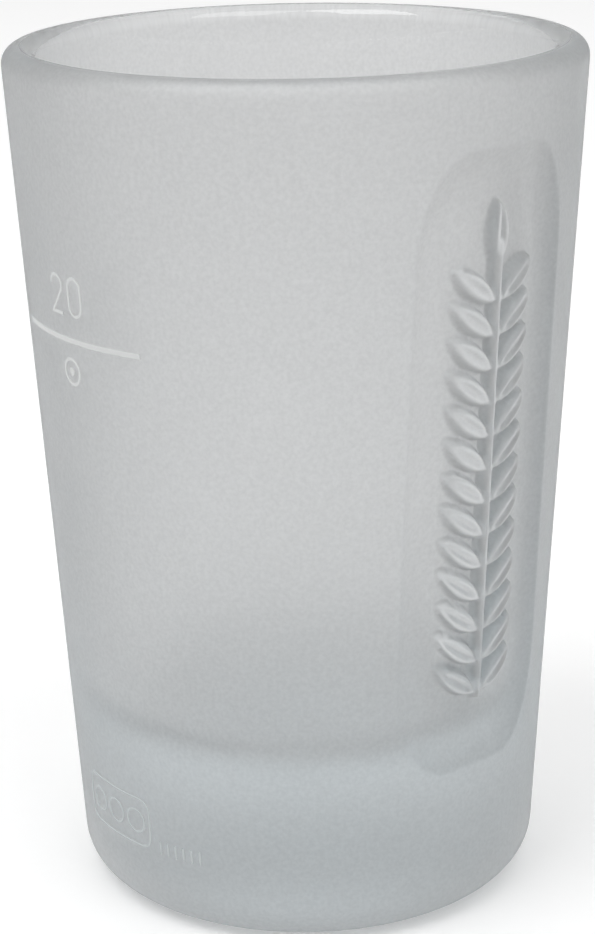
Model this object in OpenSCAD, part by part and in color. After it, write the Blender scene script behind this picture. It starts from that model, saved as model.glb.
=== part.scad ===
// A pressed shot glass: a thick-based tumbler with a recessed panel on its front and a leaf
// relief in the panel. Its fill line and small prints are fired on. +Z is up, the glass
// stands on z = 0 at the origin, and the panel faces -Y.

/* [Tumbler] */
// Height over all
height = 60; // [52:1:72]
// Outside diameter of the rim, where the wall turns into the lip
rim_d = 39.7; // [36:0.1:48]
// Outside diameter of the foot, above its rounded heel
foot_d = 33.2; // [30:0.1:39.5]
// Wall thickness at the rim, which the round lip takes up
rim_wall = 2.4; // [2:0.1:3.2]
// Inside diameter of the bowl at its floor, before the corner is rounded
floor_d = 27.2; // [24:0.1:28]
// Thickness of the solid base, up to the floor of the bowl
base_t = 12.2; // [8:0.1:15]
// Radius between the floor of the bowl and its wall
floor_r = 3.5; // [1:0.1:5]
// Radius of the heel, between the foot and the wall
heel_r = 3; // [1:0.1:4]
// Diameter of the shallow dish under the foot
dish_d = 20; // [14:0.5:22]
// Depth of the shallow dish under the foot
dish_depth = 0.6; // [0.2:0.1:1.2]

/* [Front panel] */
// Width of the recessed panel
panel_w = 13.4; // [11:0.1:16]
// Height of the panel's lower edge above the foot
panel_foot = 11.9; // [10:0.1:14]
// Distance of the panel's upper edge below the rim
panel_below_rim = 5; // [4:0.1:8]
// Radius of the panel's corners
panel_corner = 4; // [1:0.1:5]
// Depth of the panel below the wall
panel_depth = 0.9; // [0.5:0.1:1.2]

/* [Leaf relief] */
// Height of the relief above the floor of the panel
relief_h = 0.9; // [0.4:0.1:1]
// Clear distance from the panel's lower edge to the foot of the stem
relief_foot_gap = 4.8; // [2:0.1:6]
// Least clear distance from the leaf at the tip to the panel's upper edge
relief_top_gap = 3.3; // [2:0.1:6]
// Distance between one pair of leaves and the next
leaf_pitch = 2.3; // [2:0.1:4]
// Length of a leaf
leaf_l = 4.6; // [3:0.1:5]
// Width of a leaf at its middle
leaf_w = 1.7; // [0.8:0.1:1.8]
// Rise of a leaf, in degrees
leaf_rise = 36; // [20:1:60]
// Width of the stem
stem_w = 0.8; // [0.5:0.1:1.2]

/* [Prints] */
// Volume that the bowl holds up to the fill line, in millilitres
fill_ml = 20; // [12:1:24]
// Direction that the prints face, in degrees round from the panel
print_turn = -95.5; // [-150:0.5:-60]
// Thickness of the fired-on print
print_t = 0.15; // [0.1:0.01:0.3]
// Length of the fill line, round the wall
fill_line_l = 13.5; // [8:0.5:20]
// Width of the fill line
fill_line_w = 0.4; // [0.3:0.05:0.8]
// Height of the numerals
numeral_h = 2.8; // [2:0.1:4]
// Width of one numeral
numeral_w = 1.6; // [1.2:0.1:2.2]
// Width of the strokes of the numerals and of the emblem
stroke_w = 0.25; // [0.2:0.05:0.4]
// Distance from the middle of the fill line up to the numerals
numeral_gap = 1.6; // [0.8:0.1:2.4]
// Distance from the middle of the fill line down to the emblem
emblem_gap = 1.2; // [0.8:0.1:2.4]
// Diameter of the emblem's ring
emblem_d = 2; // [1.4:0.1:2.4]
// Diameter of the dot in the emblem
emblem_dot_d = 0.6; // [0.3:0.05:0.8]
// Width of the frame of the foot stamp
stamp_w = 7.5; // [5:0.1:10]
// Height of the frame of the foot stamp
stamp_h = 3.9; // [3:0.1:4.5]
// Height of the middle of the foot stamp above the foot
stamp_z = 7.6; // [6.5:0.1:8]
// Width of the lines of the foot stamp
stamp_line = 0.22; // [0.15:0.01:0.4]
// Clear distance between the rings of the foot stamp, and from them to its frame
stamp_ring_gap = 0.3; // [0.2:0.05:0.5]
// Number of ticks beside the foot stamp
tick_count = 6; // [3:1:8]
// Height of a tick
tick_h = 1; // [0.5:0.1:2]
// Distance between one tick and the next
tick_pitch = 0.66; // [0.6:0.01:1]

/* [Hidden] */
$fn = 128;

glass_colour = [0.80, 0.83, 0.84, 0.55];
print_colour = [0.96, 0.97, 0.97];
stamp_colour = [0.88, 0.90, 0.91];

// Prisms and shells reach this far past what they cut or trim
over = 1;
// Slices in the sum that gives the volume of the bowl
slices = 80;
// Halvings of the search for the fill line's height
halvings = 30;
MM3_PER_ML = 1000;

// Centres of the round parts of the wall's section: heel, lip, and corner of the bowl
lip_r = rim_wall / 2;
heel_c = [foot_d / 2 - heel_r, heel_r];
lip_c = [rim_d / 2 - lip_r, height - lip_r];
corner_c = [floor_d / 2 - floor_r, base_t + floor_r];

// Unit normal, pointing out of the glass's axis, of the line that gains reach from a to b
function line_normal(a, b, reach) =
    let (u = (b - a) / norm(b - a), k = reach / norm(b - a))
    k * u + sqrt(1 - k * k) * [u[1], -u[0]];

// The outside runs tangent to the heel and the lip, the inside to the lip and the corner
outer_n = line_normal(heel_c, lip_c, heel_r - lip_r);
inner_n = line_normal(corner_c, lip_c, floor_r + lip_r);
outer_low = heel_c + heel_r * outer_n;
outer_top = lip_c + lip_r * outer_n;
inner_top = lip_c - lip_r * inner_n;
inner_low = corner_c + floor_r * inner_n;

// Radius at height z of the straight line through two points of the section
function line_r(low, top, z) = low[0] + (z - low[1]) * (top[0] - low[0]) / (top[1] - low[1]);
function outer_r(z) = line_r(outer_low, outer_top, z);

// Radius of the bowl at height z: the rounded corner first, then the straight wall
function bowl_r(z) =
    z < inner_low[1]
        ? corner_c[0] + sqrt(max(0, floor_r * floor_r - pow(corner_c[1] - z, 2)))
        : line_r(inner_low, inner_top, z);
function total(list, i = 0) = i < len(list) ? list[i] + total(list, i + 1) : 0;
function bowl_volume(z) =
    let (step = (z - base_t) / slices)
    total([for (i = [0 : slices - 1]) PI * pow(bowl_r(base_t + (i + 0.5) * step), 2) * step]);
function height_for(volume, low, high, n) =
    let (mid = (low + high) / 2)
    n == 0 ? mid
    : bowl_volume(mid) < volume ? height_for(volume, mid, high, n - 1)
    : height_for(volume, low, mid, n - 1);

fill_z = height_for(fill_ml * MM3_PER_ML, base_t, height, halvings);
dish_r = (pow(dish_d / 2, 2) + pow(dish_depth, 2)) / (2 * dish_depth);
panel_h = height - panel_foot - panel_below_rim;
panel_z = panel_foot + panel_h / 2;

// The stem starts above the panel's lower edge, and carries as many pairs of leaves as fit
sprig_foot = panel_foot + relief_foot_gap + stem_w / 2;
sprig_room = height - panel_below_rim - relief_top_gap - sprig_foot;
leaf_pairs = floor((sprig_room - leaf_l) / leaf_pitch);

// The slanting stroke of a two is wider along its foot, because of its slant
slant_w = 1.4 * stroke_w;
numeral_pitch = numeral_w + 2 * stroke_w;

// The foot stamp's rings fill its frame, three abreast, and its corners are a quarter round
stamp_corner = stamp_h / 4;
ring_count = 3;
stamp_ring_d = min(
    (stamp_w - 2 * stamp_line - (ring_count + 1) * stamp_ring_gap) / ring_count,
    stamp_h - 2 * stamp_line - 2 * stamp_ring_gap
);

// Turns a flat outline, drawn with x across and y up, into a prism that faces out at turn
module facing(turn) {
    rotate([90, 0, turn])
        linear_extrude(height = rim_d / 2 + heel_r + over)
            children();
}

// The skin between two offsets from the outside of the wall, from height low to height top
module wall_skin(inner, outer, low, top) {
    rotate_extrude()
        polygon([
            [outer_r(low) + inner, low],
            [outer_r(low) + outer, low],
            [outer_r(top) + outer, top],
            [outer_r(top) + inner, top]
        ]);
}

// A flat outline that is fired on to the outside of the wall at turn
module printed(turn, low, top) {
    intersection() {
        wall_skin(0, print_t, low - over, top + over);
        facing(turn) children();
    }
}

module rounded_rectangle(w, h, r) {
    square([w - 2 * r, h], center = true);
    square([w, h - 2 * r], center = true);
    for (x = [-1, 1], y = [-1, 1])
        translate([x * (w / 2 - r), y * (h / 2 - r)])
            circle(r);
}

module ring(d, line) {
    difference() {
        circle(d = d);
        circle(d = d - 2 * line);
    }
}

// Half of the section of the tumbler
module section() {
    difference() {
        union() {
            polygon([
                [0, 0], [heel_c[0], 0], outer_low, outer_top, lip_c, [0, lip_c[1]]
            ]);
            translate(heel_c) circle(heel_r);
        }
        polygon([
            [0, base_t], [corner_c[0], base_t], inner_low, inner_top,
            [inner_top[0], height + over], [0, height + over]
        ]);
        translate(corner_c) circle(floor_r);
        translate([0, dish_depth - dish_r]) circle(dish_r);
    }
    translate(lip_c) circle(lip_r);
}

// A pointed leaf from the origin along x: where two circles overlap
module leaf() {
    leaf_curve = (leaf_l * leaf_l + leaf_w * leaf_w) / (4 * leaf_w);
    intersection() {
        translate([leaf_l / 2, leaf_curve - leaf_w / 2]) circle(leaf_curve);
        translate([leaf_l / 2, leaf_w / 2 - leaf_curve]) circle(leaf_curve);
    }
}

// A stem, pairs of leaves along it, and a leaf at its tip
module sprig() {
    stem_h = leaf_pairs * leaf_pitch + leaf_w;
    translate([-stem_w / 2, 0]) square([stem_w, stem_h]);
    circle(d = stem_w);
    for (i = [0 : leaf_pairs - 1], side = [0, 1])
        translate([0, i * leaf_pitch])
            mirror([side, 0])
                rotate(leaf_rise) leaf();
    translate([0, leaf_pairs * leaf_pitch]) rotate(90) leaf();
}

// The numeral two: a hook, a slanting stroke and a foot, in a box from the origin
module numeral_two() {
    bend = numeral_w / 2;
    knee = numeral_h - bend;
    translate([bend, knee])
        intersection() {
            ring(numeral_w, stroke_w);
            translate([-bend, -stroke_w / 2]) square([numeral_w, numeral_h]);
        }
    polygon([
        [0, stroke_w / 2], [slant_w, stroke_w / 2],
        [numeral_w, knee], [numeral_w - stroke_w, knee]
    ]);
    square([numeral_w, stroke_w]);
}

// An upright oblong with round ends, centred on the origin
module stadium(w, h) {
    square([w, h - w], center = true);
    for (y = [-1, 1])
        translate([0, y * (h - w) / 2]) circle(d = w);
}

// The numeral nought: a narrow loop with straight sides, in a box from the origin
module numeral_nought() {
    translate([numeral_w / 2, numeral_h / 2])
        difference() {
            stadium(numeral_w, numeral_h);
            stadium(numeral_w - 2 * stroke_w, numeral_h - 2 * stroke_w);
        }
}

module glass_body() {
    color(glass_colour)
        difference() {
            rotate_extrude() section();
            intersection() {
                wall_skin(-panel_depth, over, panel_foot - over, height - panel_below_rim + over);
                facing(0)
                    translate([0, panel_z]) rounded_rectangle(panel_w, panel_h, panel_corner);
            }
        }
}

module leaf_relief() {
    color(glass_colour)
        intersection() {
            wall_skin(
                -panel_depth, relief_h - panel_depth, panel_foot, height - panel_below_rim
            );
            facing(0) translate([0, sprig_foot]) sprig();
        }
}

module fill_line() {
    sweep = fill_line_l / outer_r(fill_z) * 180 / PI;
    low = fill_z - fill_line_w / 2;
    top = fill_z + fill_line_w / 2;
    color(print_colour)
        rotate([0, 0, print_turn - 90 - sweep / 2])
            rotate_extrude(angle = sweep)
                polygon([
                    [outer_r(low), low], [outer_r(low) + print_t, low],
                    [outer_r(top) + print_t, top], [outer_r(top), top]
                ]);
}

module volume_numerals() {
    low = fill_z + numeral_gap;
    color(print_colour)
        printed(print_turn, low, low + numeral_h)
            translate([stroke_w - numeral_pitch, low]) {
                numeral_two();
                translate([numeral_pitch, 0]) numeral_nought();
            }
}

module round_emblem() {
    middle = fill_z - emblem_gap - emblem_d / 2;
    color(print_colour)
        printed(print_turn, middle - emblem_d / 2, middle + emblem_d / 2)
            translate([0, middle]) {
                ring(emblem_d, stroke_w);
                circle(d = emblem_dot_d);
            }
}

module stamp_frame() {
    color(stamp_colour)
        printed(print_turn, stamp_z - stamp_h / 2, stamp_z + stamp_h / 2)
            translate([0, stamp_z])
                difference() {
                    rounded_rectangle(stamp_w, stamp_h, stamp_corner);
                    rounded_rectangle(
                        stamp_w - 2 * stamp_line, stamp_h - 2 * stamp_line,
                        stamp_corner - stamp_line
                    );
                }
}

module stamp_rings() {
    pitch = stamp_ring_d + stamp_ring_gap;
    color(stamp_colour)
        printed(print_turn, stamp_z - stamp_ring_d / 2, stamp_z + stamp_ring_d / 2)
            translate([-pitch * (ring_count - 1) / 2, stamp_z])
                for (i = [0 : ring_count - 1])
                    translate([i * pitch, 0]) ring(stamp_ring_d, stamp_line);
}

module stamp_ticks() {
    tick_low = stamp_z - stamp_h / 2;
    color(stamp_colour)
        printed(print_turn, tick_low, tick_low + tick_h)
            for (i = [1 : tick_count])
                translate([stamp_w / 2 + i * tick_pitch, tick_low])
                    square([stamp_line, tick_h]);
}

glass_body();
leaf_relief();
fill_line();
volume_numerals();
round_emblem();
stamp_frame();
stamp_rings();
stamp_ticks();
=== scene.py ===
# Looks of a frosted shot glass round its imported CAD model. Lengths are in metres.
import math
import bpy
import numpy as np
from mathutils import Matrix, Vector

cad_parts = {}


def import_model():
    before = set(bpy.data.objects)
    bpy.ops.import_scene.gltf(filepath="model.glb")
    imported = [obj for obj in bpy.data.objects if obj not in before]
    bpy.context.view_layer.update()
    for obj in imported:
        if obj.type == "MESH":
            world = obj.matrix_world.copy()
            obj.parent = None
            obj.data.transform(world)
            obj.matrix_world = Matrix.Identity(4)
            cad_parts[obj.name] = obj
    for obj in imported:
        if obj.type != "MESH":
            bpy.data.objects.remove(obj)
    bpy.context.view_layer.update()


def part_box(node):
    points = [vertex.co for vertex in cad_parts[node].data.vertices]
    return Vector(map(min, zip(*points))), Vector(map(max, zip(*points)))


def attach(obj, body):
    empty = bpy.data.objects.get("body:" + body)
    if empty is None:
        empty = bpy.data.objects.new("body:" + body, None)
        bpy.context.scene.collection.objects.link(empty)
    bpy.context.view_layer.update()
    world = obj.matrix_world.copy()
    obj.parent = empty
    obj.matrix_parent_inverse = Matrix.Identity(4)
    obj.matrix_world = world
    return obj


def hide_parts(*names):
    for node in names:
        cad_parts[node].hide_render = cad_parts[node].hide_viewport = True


MM = 0.001

# ---------------------------------------------------------------- sizes
# The glass, as in the CAD model
FOOT_D = 33.2 * MM
RIM_WALL = 2.4 * MM
FLOOR_D = 27.2 * MM
BASE_T = 12.2 * MM
FLOOR_R = 3.5 * MM
HEEL_R = 3.0 * MM
DISH_D = 20.0 * MM
DISH_DEPTH = 0.6 * MM
PANEL_W = 13.4 * MM
PANEL_FOOT = 11.9 * MM
PANEL_BELOW_RIM = 5.0 * MM
PANEL_CORNER = 4.0 * MM
PANEL_DEPTH = 0.9 * MM
RELIEF_H = 0.9 * MM
LEAF_PITCH = 2.3 * MM
LEAF_L = 4.6 * MM
LEAF_W = 1.7 * MM
LEAF_RISE = math.radians(36)
STEM_W = 0.8 * MM
PRINT_TURN = math.radians(-95.5)
FILL_LINE_L = 13.5 * MM
NUMERAL_W = 1.6 * MM
STROKE_W = 0.25 * MM
EMBLEM_DOT_D = 0.6 * MM
STAMP_W = 7.5 * MM
STAMP_LINE = 0.22 * MM
STAMP_RING_GAP = 0.3 * MM
TICK_COUNT = 6
TICK_PITCH = 0.66 * MM

# What pressing and firing soften, which the CAD model leaves sharp
PANEL_SLOPE = 2.4 * MM
PANEL_END_SLOPE = 4.5 * MM
PANEL_EASE = 2.2
LEAF_SHOULDER = 0.5 * MM
VEIN_DEPTH = 0.3 * MM
VEIN_HALF_W = 0.18 * MM
# Share of the frost taken off the relief, in proportion to its height. Its tops become smoother,
# clearer and whiter, and the whiter colour is a painted highlight on the ridges.
RELIEF_CLEARING_AND_HIGHLIGHT = 0.45
FOOT_FROST = 0.3
FROST_FADES = math.radians(60)
FROST_ENDS = math.radians(125)
PRINT_THICK = 0.04 * MM
PRINT_BEVEL = 1.5 * PRINT_THICK
PRINT_SUNK = 0.02 * MM

# How finely the glass and the prints are meshed
FINE_ROW = 0.2 * MM
COARSE_ROW = 0.8 * MM
PANEL_TURN = math.radians(25)
FINE_TURN = math.radians(0.42)
COARSE_TURN = math.radians(1.7)
DISH_STEPS = 6
FOOT_STEPS = 2
ROUND_STEPS = 12
LIP_STEPS = 26
BOWL_STEPS = 12
BOWL_FLOOR_STEPS = 6
PRINT_STEP = 0.25 * MM
TWO_STEPS = 14
CIRCLE_STEPS = 40
CORNER_STEPS = 8
MITRE_LIMIT = 2
SAME_POINT = 1e-7

# Where the hook of the two ends, before its slanting stroke
TWO_TURNS_TO = math.radians(-25)

# Materials. The clarity is the share of light that the frost lets through. Noise scales are
# in features per metre.
FROST_ROUGHNESS = 0.5
FROST_PATCHES = 0.05
FROST_PATCH_SCALE = 220
FROST_CLARITY = 0.78
FROST_DARK = (0.67, 0.67, 0.67)
FROST_LIGHT = (0.77, 0.77, 0.77)
FROST_PITS = 0.008 * MM
FROST_PIT_SCALE = 3600
PITTED_FROM = 0.8
GLASS_IOR = 1.5
CLEAR_ROUGHNESS = 0.03
GLASS_TINT = (0.80, 0.92, 0.97)
GLASS_TINT_DENSITY = 22
PRINT_COLOUR = (0.61, 0.62, 0.62)
STAMP_COLOUR = (0.47, 0.50, 0.51)
PRINT_GRAIN = 0.01 * MM
PRINT_GRAIN_SCALE = 5200
PRINT_ROUGHNESS = (0.34, 0.5)
BUMP_STRENGTH = 0.6
NOISE_DETAIL = 3
NOISE_LOW = 0.3
NOISE_HIGH = 0.7

# The camera, set from the direction of the front panel. Sensor and lens are in millimetres.
CAMERA_TURN = math.radians(-42.3)
CAMERA_DISTANCE = 162.0 * MM
CAMERA_HEIGHT = 81.9 * MM
CAMERA_YAW = -0.0022
CAMERA_PITCH = 0.3133
CAMERA_ROLL = -0.018
SENSOR_W = 36.0
LENS = 143.9
CLIP_START = 0.005
CLIP_END = 20

# Floor, world and lamps; turns are taken from the camera's direction
FLOOR_HALF = 3.0
FLOOR_COLOUR = (0.88, 0.88, 0.88)
FLOOR_ROUGHNESS = 0.7
FLOOR_GLOW = 0.2
FLOOR_GRAIN = 0.05 * MM
FLOOR_GRAIN_SCALE = 900
FLOOR_BUMP_STRENGTH = 0.2
WORLD_STRENGTH = 0.53
LAMP_DISTANCE = 0.9
KEY_TURN = math.radians(50)
FILL_TURN = math.radians(38)
FRONT_ELEVATION = math.radians(60)
FRONT_LAMP_SIZE = 0.5
KEY_POWER = 3.0
FILL_POWER = 1.5
BACK_ELEVATION = math.radians(62)
BACK_LAMP_SIZE = 0.8
BACK_POWER = 1.2

# ---------------------------------------------------------------- frame
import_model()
glass_low, glass_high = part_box("glass_body")
HEIGHT = glass_high.z
RIM_R = glass_high.x


def facing(turn):
    """Unit vector out of the glass at turn, measured from the front panel towards +X."""
    return Vector((math.sin(turn), -math.cos(turn), 0))


# ---------------------------------------------------------------- the wall's section
LIP_R = RIM_WALL / 2
heel_c = Vector((FOOT_D / 2 - HEEL_R, HEEL_R))
lip_c = Vector((RIM_R - LIP_R, HEIGHT - LIP_R))
corner_c = Vector((FLOOR_D / 2 - FLOOR_R, BASE_T + FLOOR_R))


def line_normal(a, b, reach):
    """Unit normal, pointing away from the axis, of the line that gains reach from a to b."""
    along = (b - a).normalized()
    share = reach / (b - a).length
    return share * along + math.sqrt(1 - share * share) * Vector((along.y, -along.x))


outer_n = line_normal(heel_c, lip_c, HEEL_R - LIP_R)
inner_n = line_normal(corner_c, lip_c, FLOOR_R + LIP_R)
outer_low = heel_c + HEEL_R * outer_n
outer_top = lip_c + LIP_R * outer_n
inner_top = lip_c - LIP_R * inner_n
inner_low = corner_c + FLOOR_R * inner_n


def outer_r(z):
    """Radius of the outside of the wall at height z."""
    return outer_low.x + (z - outer_low.y) * (outer_top.x - outer_low.x) / (outer_top.y - outer_low.y)


def arc(centre, radius, start, end, steps):
    """Points on a round stretch of the section, from one angle to the other."""
    angles = np.linspace(start, end, steps + 1)
    return [(centre[0] + radius * math.cos(a), centre[1] + radius * math.sin(a)) for a in angles]


def straight(a, b, steps):
    """Points on a straight stretch of the section: so many steps, or steps of a given length."""
    steps = steps if steps >= 1 else math.ceil((Vector(b) - Vector(a)).length / steps)
    return [tuple(Vector(a).lerp(Vector(b), t)) for t in np.linspace(0, 1, steps + 1)]


def section():
    """The section from the middle of the foot, round the lip, to the middle of the bowl's floor,
    as (radius, height, kind): foot, frost, wall, which takes the panel, lip, or clear."""
    dish_r = ((DISH_D / 2) ** 2 + DISH_DEPTH ** 2) / (2 * DISH_DEPTH)
    dish_c = (0, DISH_DEPTH - dish_r)
    dish_edge = math.asin(DISH_D / 2 / dish_r)
    outer_angle = math.atan2(outer_n.y, outer_n.x)
    inner_angle = math.atan2(inner_n.y, inner_n.x)
    panel_low = Vector((outer_r(PANEL_FOOT - FINE_ROW), PANEL_FOOT - FINE_ROW))
    panel_top = HEIGHT - PANEL_BELOW_RIM + FINE_ROW
    panel_top = Vector((outer_r(panel_top), panel_top))
    stretches = [
        ("foot", arc(dish_c, dish_r, math.pi / 2, math.pi / 2 - dish_edge, DISH_STEPS)),
        ("foot", straight((DISH_D / 2, 0), (heel_c.x, 0), FOOT_STEPS)),
        ("frost", arc(heel_c, HEEL_R, -math.pi / 2, outer_angle, ROUND_STEPS)),
        ("frost", straight(outer_low, panel_low, COARSE_ROW)),
        ("wall", straight(panel_low, panel_top, FINE_ROW)),
        ("frost", straight(panel_top, outer_top, COARSE_ROW)),
        ("lip", arc(lip_c, LIP_R, outer_angle, math.pi + inner_angle, LIP_STEPS)),
        ("clear", straight(inner_top, inner_low, BOWL_STEPS)),
        ("clear", arc(corner_c, FLOOR_R, inner_angle, -math.pi / 2, ROUND_STEPS)),
        ("clear", straight((corner_c.x, BASE_T), (0, BASE_T), BOWL_FLOOR_STEPS)),
    ]
    points = []
    for kind, stretch in stretches:
        points += [(r, z, kind) for r, z in (stretch if not points else stretch[1:])]
    return points


# ---------------------------------------------------------------- panel and relief
panel_h = HEIGHT - PANEL_FOOT - PANEL_BELOW_RIM
panel_z = PANEL_FOOT + panel_h / 2
relief_low, relief_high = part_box("leaf_relief")
sprig_foot = relief_low.z + STEM_W / 2
leaf_pairs = math.floor((relief_high.z - sprig_foot - LEAF_L) / LEAF_PITCH + 0.5)


def smooth_step(t):
    t = np.clip(t, 0, 1)
    return t * t * t * (t * (6 * t - 15) + 10)


def dome(inside, shoulder):
    """Share of full height at a distance inside an outline: round shoulders, then flat."""
    t = np.clip(inside / shoulder, 0, 1)
    return np.sqrt(1 - (1 - t) ** 2)


def panel_sink(x, z):
    """Depth of the panel at x across and z up."""
    squeeze = PANEL_SLOPE / PANEL_END_SLOPE
    qx = np.abs(x) - (PANEL_W / 2 - PANEL_CORNER)
    qz = squeeze * (np.abs(z - panel_z) - panel_h / 2) + PANEL_CORNER
    outside = np.hypot(np.maximum(qx, 0), np.maximum(qz, 0)) + np.minimum(np.maximum(qx, qz), 0)
    inside = np.clip((PANEL_CORNER - outside) / PANEL_SLOPE, 0, 1)
    return PANEL_DEPTH * (1 - (1 - inside) ** PANEL_EASE)


def leaf_rise_at(x, z, root_z, turn):
    """Height of one leaf that leaves the stem at root_z, turned up from x by turn."""
    u = x * math.cos(turn) + (z - root_z) * math.sin(turn)
    v = (z - root_z) * math.cos(turn) - x * math.sin(turn)
    curve = (LEAF_L ** 2 + LEAF_W ** 2) / (4 * LEAF_W)
    offset = curve - LEAF_W / 2
    inside = curve - np.maximum(
        np.hypot(u - LEAF_L / 2, v + offset), np.hypot(u - LEAF_L / 2, v - offset)
    )
    vein = VEIN_DEPTH * np.exp(-((v / VEIN_HALF_W) ** 2)) * smooth_step(u / LEAF_W)
    return dome(inside, LEAF_SHOULDER) * (RELIEF_H - vein)


def relief_rise(x, z):
    """Height of the sprig at x across and z up."""
    side = np.abs(x)
    stem_top = sprig_foot + leaf_pairs * LEAF_PITCH + LEAF_W
    past = np.maximum(np.maximum(sprig_foot - z, z - stem_top), 0)
    rise = RELIEF_H * dome(STEM_W / 2 - np.hypot(side, past), STEM_W / 2)
    for i in range(leaf_pairs):
        rise = np.maximum(rise, leaf_rise_at(side, z, sprig_foot + i * LEAF_PITCH, LEAF_RISE))
    tip = sprig_foot + leaf_pairs * LEAF_PITCH
    return np.maximum(rise, leaf_rise_at(x, z, tip, math.pi / 2))


# ---------------------------------------------------------------- meshes
def new_mesh(name, points, faces, smooth=True):
    mesh = bpy.data.meshes.new(name)
    mesh.from_pydata([tuple(p) for p in points], [], faces)
    mesh.polygons.foreach_set("use_smooth", [smooth] * len(mesh.polygons))
    mesh.update()
    obj = bpy.data.objects.new(name, mesh)
    bpy.context.scene.collection.objects.link(obj)
    return obj


def columns():
    """Directions of the glass's columns of points: close together across the panel."""
    fine = np.arange(-PANEL_TURN, PANEL_TURN, FINE_TURN)
    rest = 2 * math.pi - 2 * PANEL_TURN
    coarse = PANEL_TURN + np.arange(0, round(rest / COARSE_TURN)) * rest / round(rest / COARSE_TURN)
    return np.concatenate([fine, coarse])


def frosting(r, z, kind):
    """How frosted the skin is, from 0 to 1: it fades over the lip to the clear inside."""
    if kind != "lip":
        return {"clear": 0, "foot": FOOT_FROST}.get(kind, 1)
    round_lip = math.atan2(z - lip_c.y, r - lip_c.x)
    return float(1 - smooth_step((round_lip - FROST_FADES) / (FROST_ENDS - FROST_FADES)))


def pressed_glass():
    """The whole tumbler as one closed skin, with the panel and the relief pressed into it."""
    turns = columns()
    profile = section()
    count = len(turns)
    points, frost = [], []
    for r, z, kind in profile[1:-1]:
        radius = np.full(count, r)
        clearing_and_highlight = np.zeros(count)
        if kind == "wall":
            x = r * np.sin(turns)
            front = np.cos(turns) > 0
            sink = panel_sink(x, z)
            rise = relief_rise(x, z)
            radius = radius + np.where(front, rise - sink, 0)
            # The relief loses frost towards its tops. It is clearer and smoother there, and whiter,
            # which paints a highlight on the ridges.
            clearing_and_highlight = np.where(front, RELIEF_CLEARING_AND_HIGHLIGHT * rise / RELIEF_H, 0)
        points += list(zip(radius * np.sin(turns), -radius * np.cos(turns), np.full(count, z)))
        frost += list(frosting(r, z, kind) - clearing_and_highlight)
    faces = []
    rows = len(points) // count
    for a in range(0, (rows - 1) * count, count):
        for i in range(count):
            j = (i + 1) % count
            faces.append((a + i, a + j, a + count + j, a + count + i))
    under, floor = len(points), len(points) + 1
    points += [(0, 0, profile[0][1]), (0, 0, profile[-1][1])]
    frost += [FOOT_FROST, 0.0]
    last = (rows - 1) * count
    for i in range(count):
        j = (i + 1) % count
        faces += [(under, j, i), (floor, last + i, last + j)]
    glass = new_mesh("pressed_glass", points, faces)
    attribute = glass.data.attributes.new("frost", "FLOAT", "POINT")
    attribute.data.foreach_set("value", frost)
    return glass


def on_wall(x, z, proud):
    """The point on the outside of the wall, x round it from the prints' middle, at height z."""
    radius = outer_r(z)
    return facing(PRINT_TURN + x / radius) * (radius + proud) + Vector((0, 0, z))


def subdivided(path, closed):
    """The same path with points close enough together to follow the round wall."""
    out = []
    for a, b in zip(path, path[1:] + path[:1] if closed else path[1:]):
        pieces = max(1, math.ceil((b - a).length / PRINT_STEP))
        out += [a.lerp(b, i / pieces) for i in range(pieces)]
    return out if closed else out + [path[-1]]


def ribbon(path, width, closed):
    """Points and faces of a print's stroke that follows a path of (x, z) on the wall."""
    path = subdivided([Vector(p) for p in path], closed)
    n = len(path)
    edge = min(PRINT_BEVEL, width / 4)
    across = [
        (-width / 2, -PRINT_SUNK), (-width / 2, PRINT_THICK / 3), (-width / 2 + edge, PRINT_THICK),
        (width / 2 - edge, PRINT_THICK), (width / 2, PRINT_THICK / 3), (width / 2, -PRINT_SUNK),
    ]
    points = []
    for i, p in enumerate(path):
        back = path[i - 1] if closed or i else p
        ahead = path[(i + 1) % n] if closed or i < n - 1 else p
        a = (p - back).normalized() if (p - back).length > 0 else (ahead - p).normalized()
        b = (ahead - p).normalized() if (ahead - p).length > 0 else a
        side = Vector((-(a + b).y, (a + b).x)).normalized()
        mitre = 1 / max(1 / MITRE_LIMIT, side.dot(Vector((-b.y, b.x))))
        points += [on_wall(*(p + side * mitre * s), h) for s, h in across]
    k = len(across)
    faces = []
    for i in range(n if closed else n - 1):
        a, b = i * k, ((i + 1) % n) * k
        faces += [(a + m, b + m, b + (m + 1) % k, a + (m + 1) % k) for m in range(k)]
    if not closed:
        faces += [tuple(range(k)), tuple((n - 1) * k + m for m in reversed(range(k)))]
    return points, faces


def printed(name, strokes, node, material):
    """A print made of strokes, each (path, width, closed), that stands for a CAD node."""
    points, faces = [], []
    for path, width, closed in strokes:
        more, sides = ribbon(path, width, closed)
        faces += [tuple(len(points) + i for i in side) for side in sides]
        points += more
    piece = new_mesh(name, points, faces, smooth=False)
    piece.data.materials.append(material)
    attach(piece, "root")
    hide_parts(node)


def loop(centre, radius):
    """A circle as a path."""
    return arc(centre, radius, 0, 2 * math.pi, CIRCLE_STEPS)[:-1]


def rounded_loop(centre, width, height, radius):
    """A rectangle with round corners as a path, anticlockwise."""
    path = []
    for quarter, (sx, sz) in enumerate([(1, 1), (-1, 1), (-1, -1), (1, -1)]):
        corner = (centre[0] + sx * (width / 2 - radius), centre[1] + sz * (height / 2 - radius))
        start = quarter * math.pi / 2
        path += arc(corner, radius, start, start + math.pi / 2, CORNER_STEPS)
    far = [(Vector(a) - Vector(b)).length > SAME_POINT for a, b in zip(path, path[1:] + path[:1])]
    return [p for p, keep in zip(path, far) if keep]


# ---------------------------------------------------------------- materials
def material(name, colour, roughness):
    mat = bpy.data.materials.new(name)
    mat.use_nodes = True
    shader = mat.node_tree.nodes["Principled BSDF"]
    shader.inputs["Base Color"].default_value = (*colour, 1)
    shader.inputs["Roughness"].default_value = roughness
    return mat, mat.node_tree, shader


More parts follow.
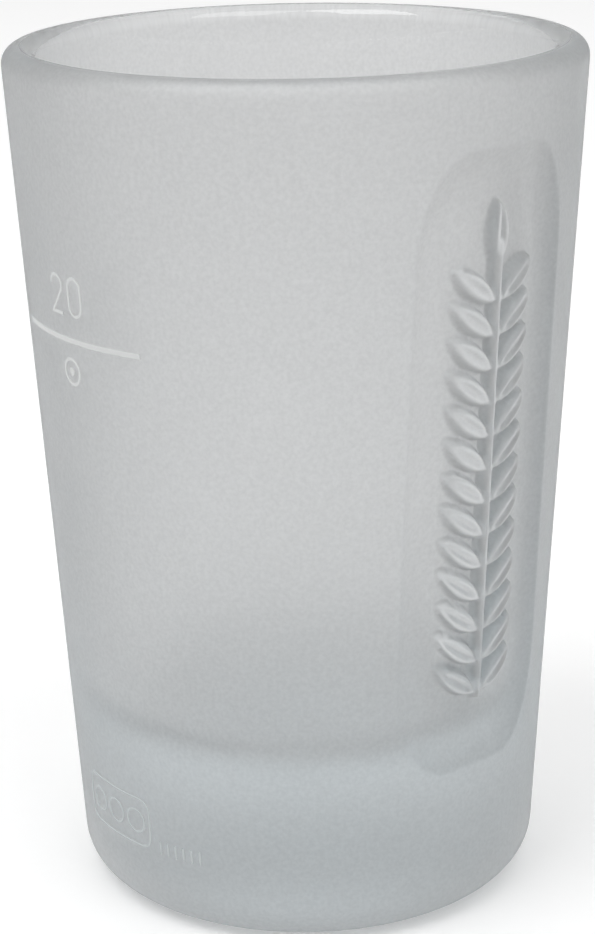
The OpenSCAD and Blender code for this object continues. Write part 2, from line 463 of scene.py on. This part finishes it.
def noise(tree, scale, coords):
    node = tree.nodes.new("ShaderNodeTexNoise")
    node.inputs["Scale"].default_value = scale
    node.inputs["Detail"].default_value = NOISE_DETAIL
    tree.links.new(coords, node.inputs["Vector"])
    return node.outputs["Fac"]


def spread(tree, value, low, high):
    """A noise value moved to between low and high."""
    node = tree.nodes.new("ShaderNodeMapRange")
    node.inputs["From Min"].default_value = NOISE_LOW
    node.inputs["From Max"].default_value = NOISE_HIGH
    node.inputs["To Min"].default_value = low
    node.inputs["To Max"].default_value = high
    tree.links.new(value, node.inputs["Value"])
    return node.outputs["Result"]


def bump(tree, height, distance, strength, shader):
    node = tree.nodes.new("ShaderNodeBump")
    node.inputs["Distance"].default_value = distance
    node.inputs["Strength"].default_value = strength
    tree.links.new(height, node.inputs["Height"])
    tree.links.new(node.outputs["Normal"], shader.inputs["Normal"])


def object_coords(tree):
    return tree.nodes.new("ShaderNodeTexCoord").outputs["Object"]


def between(tree, factor, low, high, start=0.0):
    """A value that runs from low, where factor is start or less, to high, where it is 1."""
    node = tree.nodes.new("ShaderNodeMapRange")
    node.inputs["From Min"].default_value = start
    node.inputs["To Min"].default_value = low
    node.inputs["To Max"].default_value = high
    tree.links.new(factor, node.inputs["Value"])
    return node.outputs["Result"]


def mixed_colour(tree, factor, low, high):
    """A colour that runs from low, where factor is 0, to high, where it is 1."""
    node = tree.nodes.new("ShaderNodeMix")
    node.data_type = "RGBA"
    tree.links.new(factor, node.inputs["Factor"])
    for name, colour in (("A", low), ("B", high)):
        if isinstance(colour, tuple):
            node.inputs[name].default_value = (*colour, 1)
        else:
            tree.links.new(colour, node.inputs[name])
    return node.outputs["Result"]


def pressed_glass_material():
    """Clear glass whose outside is frosted: the frost attribute says where."""
    mat, tree, shader = material("frosted_glass", (1, 1, 1), FROST_ROUGHNESS)
    shader.inputs["IOR"].default_value = GLASS_IOR
    attribute = tree.nodes.new("ShaderNodeAttribute")
    attribute.attribute_name = "frost"
    frost = attribute.outputs["Fac"]
    coords = object_coords(tree)

    patches = noise(tree, FROST_PATCH_SCALE, coords)
    rough_low, rough_high = FROST_ROUGHNESS - FROST_PATCHES, FROST_ROUGHNESS + FROST_PATCHES
    roughness = tree.nodes.new("ShaderNodeMix")
    roughness.inputs["A"].default_value = CLEAR_ROUGHNESS
    tree.links.new(frost, roughness.inputs["Factor"])
    tree.links.new(between(tree, patches, rough_low, rough_high), roughness.inputs["B"])
    tree.links.new(roughness.outputs["Result"], shader.inputs["Roughness"])

    tree.links.new(between(tree, frost, 1, FROST_CLARITY), shader.inputs["Transmission Weight"])

    pits = noise(tree, FROST_PIT_SCALE, coords)
    speckle = mixed_colour(tree, spread(tree, pits, 0, 1), FROST_DARK, FROST_LIGHT)
    tint = mixed_colour(tree, frost, (1, 1, 1), speckle)
    tree.links.new(tint, shader.inputs["Base Color"])

    pitting = tree.nodes.new("ShaderNodeMath")
    pitting.operation = "MULTIPLY"
    tree.links.new(pits, pitting.inputs[0])
    tree.links.new(between(tree, frost, 0, 1, PITTED_FROM), pitting.inputs[1])
    bump(tree, pitting.outputs["Value"], FROST_PITS, BUMP_STRENGTH, shader)

    absorb = tree.nodes.new("ShaderNodeVolumeAbsorption")
    absorb.inputs["Color"].default_value = (*GLASS_TINT, 1)
    absorb.inputs["Density"].default_value = GLASS_TINT_DENSITY
    tree.links.new(absorb.outputs["Volume"], tree.nodes["Material Output"].inputs["Volume"])
    return mat


def enamel(name, colour):
    mat, tree, shader = material(name, colour, PRINT_ROUGHNESS[0])
    grain = noise(tree, PRINT_GRAIN_SCALE, object_coords(tree))
    tree.links.new(spread(tree, grain, *PRINT_ROUGHNESS), shader.inputs["Roughness"])
    bump(tree, grain, PRINT_GRAIN, BUMP_STRENGTH, shader)
    return mat


# ---------------------------------------------------------------- the object
glass = pressed_glass()
glass.data.materials.append(pressed_glass_material())
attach(glass, "root")
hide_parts("glass_body", "leaf_relief")

white_print = enamel("white_print", PRINT_COLOUR)
pale_print = enamel("pale_print", STAMP_COLOUR)


def span(node):
    """The height of a printed CAD node's middle, and how tall the node is."""
    low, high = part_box(node)
    return (low.z + high.z) / 2, high.z - low.z


line_z, line_w = span("fill_line")
printed(
    "fill_line_print",
    [([(-FILL_LINE_L / 2, line_z), (FILL_LINE_L / 2, line_z)], line_w, False)],
    "fill_line", white_print,
)

number_z, number_h = span("volume_numerals")
bend = (NUMERAL_W - STROKE_W) / 2
number_low = number_z - (number_h - STROKE_W) / 2
number_top = number_z + (number_h - STROKE_W) / 2
number_x = NUMERAL_W / 2 + STROKE_W
two = (
    arc((-number_x, number_top - bend), bend, math.pi, TWO_TURNS_TO, TWO_STEPS)
    + [(-number_x - bend, number_low), (-number_x + bend, number_low)]
)
nought = rounded_loop((number_x, number_z), 2 * bend, number_h - STROKE_W, bend)
printed(
    "volume_numeral_print",
    [(two, STROKE_W, False), (nought, STROKE_W, True)],
    "volume_numerals", white_print,
)

emblem_z, emblem_d = span("round_emblem")
printed(
    "round_emblem_print",
    [
        (loop((0, emblem_z), (emblem_d - STROKE_W) / 2), STROKE_W, True),
        (loop((0, emblem_z), EMBLEM_DOT_D / 4), EMBLEM_DOT_D / 2, True),
    ],
    "round_emblem", white_print,
)

stamp_z, stamp_h = span("stamp_frame")
stamp_path = rounded_loop(
    (0, stamp_z), STAMP_W - STAMP_LINE, stamp_h - STAMP_LINE, stamp_h / 4 - STAMP_LINE / 2
)
printed(
    "stamp_frame_print", [(stamp_path, STAMP_LINE, True)], "stamp_frame", pale_print
)

ring_z, ring_d = span("stamp_rings")
printed(
    "stamp_ring_print",
    [
        (loop((i * (ring_d + STAMP_RING_GAP), ring_z), (ring_d - STAMP_LINE) / 2), STAMP_LINE, True)
        for i in (-1, 0, 1)
    ],
    "stamp_rings", pale_print,
)

tick_z, tick_h = span("stamp_ticks")
tick_x = [(STAMP_W + STAMP_LINE) / 2 + i * TICK_PITCH for i in range(1, TICK_COUNT + 1)]
printed(
    "stamp_tick_print",
    [
        ([(x, tick_z - tick_h / 2), (x, tick_z + tick_h / 2)], STAMP_LINE, False)
        for x in tick_x
    ],
    "stamp_ticks", pale_print,
)


# ---------------------------------------------------------------- stage, light and camera
def floor():
    signs = [(-1, -1), (1, -1), (1, 1), (-1, 1)]
    corners = [(sx * FLOOR_HALF, sy * FLOOR_HALF, 0) for sx, sy in signs]
    plane = new_mesh("floor", corners, [(0, 1, 2, 3)], smooth=False)
    mat, tree, shader = material("floor_paper", FLOOR_COLOUR, FLOOR_ROUGHNESS)
    shader.inputs["Emission Color"].default_value = (1, 1, 1, 1)
    shader.inputs["Emission Strength"].default_value = FLOOR_GLOW
    grain = noise(tree, FLOOR_GRAIN_SCALE, object_coords(tree))
    bump(tree, grain, FLOOR_GRAIN, FLOOR_BUMP_STRENGTH, shader)
    plane.data.materials.append(mat)


def area_light(name, turn, elevation, size, power):
    """A soft light that looks at the middle of the glass from a direction."""
    light = bpy.data.lights.new(name, "AREA")
    light.shape = "RECTANGLE"
    light.size = size
    light.size_y = size
    light.energy = power
    lamp = bpy.data.objects.new(name, light)
    middle = Vector((0, 0, HEIGHT / 2))
    away = facing(turn) * math.cos(elevation) + Vector((0, 0, math.sin(elevation)))
    lamp.location = middle + away * LAMP_DISTANCE
    lamp.rotation_euler = away.to_track_quat("Z", "Y").to_euler()
    bpy.context.scene.collection.objects.link(lamp)


def world():
    sky = bpy.data.worlds.new("studio")
    sky.use_nodes = True
    sky.node_tree.nodes["Background"].inputs["Color"].default_value = (1, 1, 1, 1)
    sky.node_tree.nodes["Background"].inputs["Strength"].default_value = WORLD_STRENGTH
    bpy.context.scene.world = sky


def camera():
    data = bpy.data.cameras.new("camera")
    data.sensor_fit = "HORIZONTAL"
    data.sensor_width = SENSOR_W
    data.lens = LENS
    data.clip_start = CLIP_START
    data.clip_end = CLIP_END
    cam = bpy.data.objects.new("camera", data)
    bpy.context.scene.collection.objects.link(cam)
    away = facing(CAMERA_TURN)
    right = Vector((math.cos(CAMERA_TURN), math.sin(CAMERA_TURN), 0))
    ahead = -away * math.cos(CAMERA_YAW) + right * math.sin(CAMERA_YAW)
    right = right * math.cos(CAMERA_YAW) + away * math.sin(CAMERA_YAW)
    look = ahead * math.cos(CAMERA_PITCH) - Vector((0, 0, math.sin(CAMERA_PITCH)))
    up = right.cross(look)
    rolled_right = right * math.cos(CAMERA_ROLL) + up * math.sin(CAMERA_ROLL)
    rolled_up = up * math.cos(CAMERA_ROLL) - right * math.sin(CAMERA_ROLL)
    turn = Matrix((rolled_right, rolled_up, -look)).transposed().to_4x4()
    cam.matrix_world = Matrix.Translation(away * CAMERA_DISTANCE + Vector((0, 0, CAMERA_HEIGHT))) @ turn
    bpy.context.scene.camera = cam


floor()
world()
area_light("key", CAMERA_TURN - KEY_TURN, FRONT_ELEVATION, FRONT_LAMP_SIZE, KEY_POWER)
area_light("fill", CAMERA_TURN + FILL_TURN, FRONT_ELEVATION, FRONT_LAMP_SIZE, FILL_POWER)
area_light("back", CAMERA_TURN + math.pi, BACK_ELEVATION, BACK_LAMP_SIZE, BACK_POWER)
camera()
bpy.context.scene.view_settings.view_transform = "Standard"
